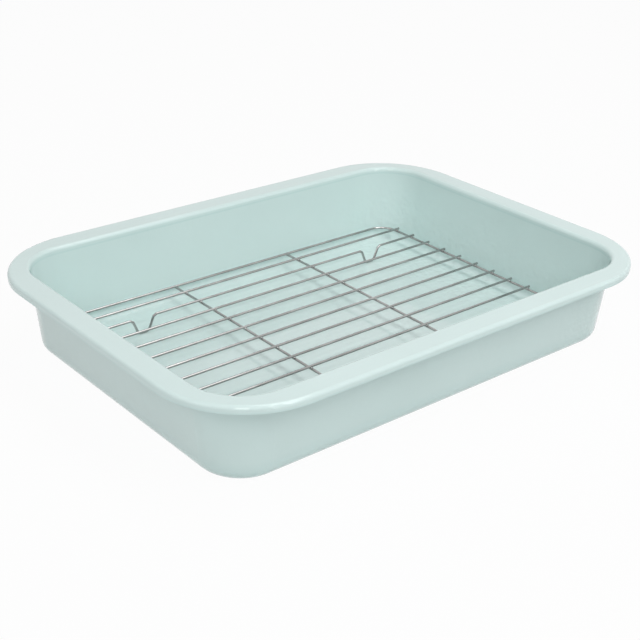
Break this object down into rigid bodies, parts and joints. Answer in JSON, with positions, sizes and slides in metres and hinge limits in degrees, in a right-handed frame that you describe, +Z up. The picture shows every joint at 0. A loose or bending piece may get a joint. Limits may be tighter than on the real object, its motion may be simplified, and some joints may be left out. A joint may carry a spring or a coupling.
{
  "type": "baking dish with rack",
  "caption": "Rectangular enamelled steel baking dish with a wide flat rim, and a welded wire rack that stands on bent feet inside it.",
  "frame": {"origin": "middle of the dish's flat underside", "axes": "+X along the dish's longer sides and along the rack's long wires, +Y across the dish, +Z up out of its mouth"},
  "size_m": [0.4, 0.295, 0.064],
  "materials": {
    "enamel": "glossy pale mint enamel",
    "plated_wire": "bright plated"
  },
  "bodies": {
    "root": {"baking_dish": "enamel", "rack_frame": "plated_wire", "rack_cross_wire_1": "plated_wire", "rack_cross_wire_2": "plated_wire", "rack_long_wire_01": "plated_wire", "rack_long_wire_02": "plated_wire", "rack_long_wire_03": "plated_wire", "rack_long_wire_04": "plated_wire", "rack_long_wire_05": "plated_wire", "rack_long_wire_06": "plated_wire", "rack_long_wire_07": "plated_wire", "rack_long_wire_08": "plated_wire", "rack_long_wire_09": "plated_wire", "rack_long_wire_10": "plated_wire", "rack_long_wire_11": "plated_wire"}
  },
  "joints": []
}
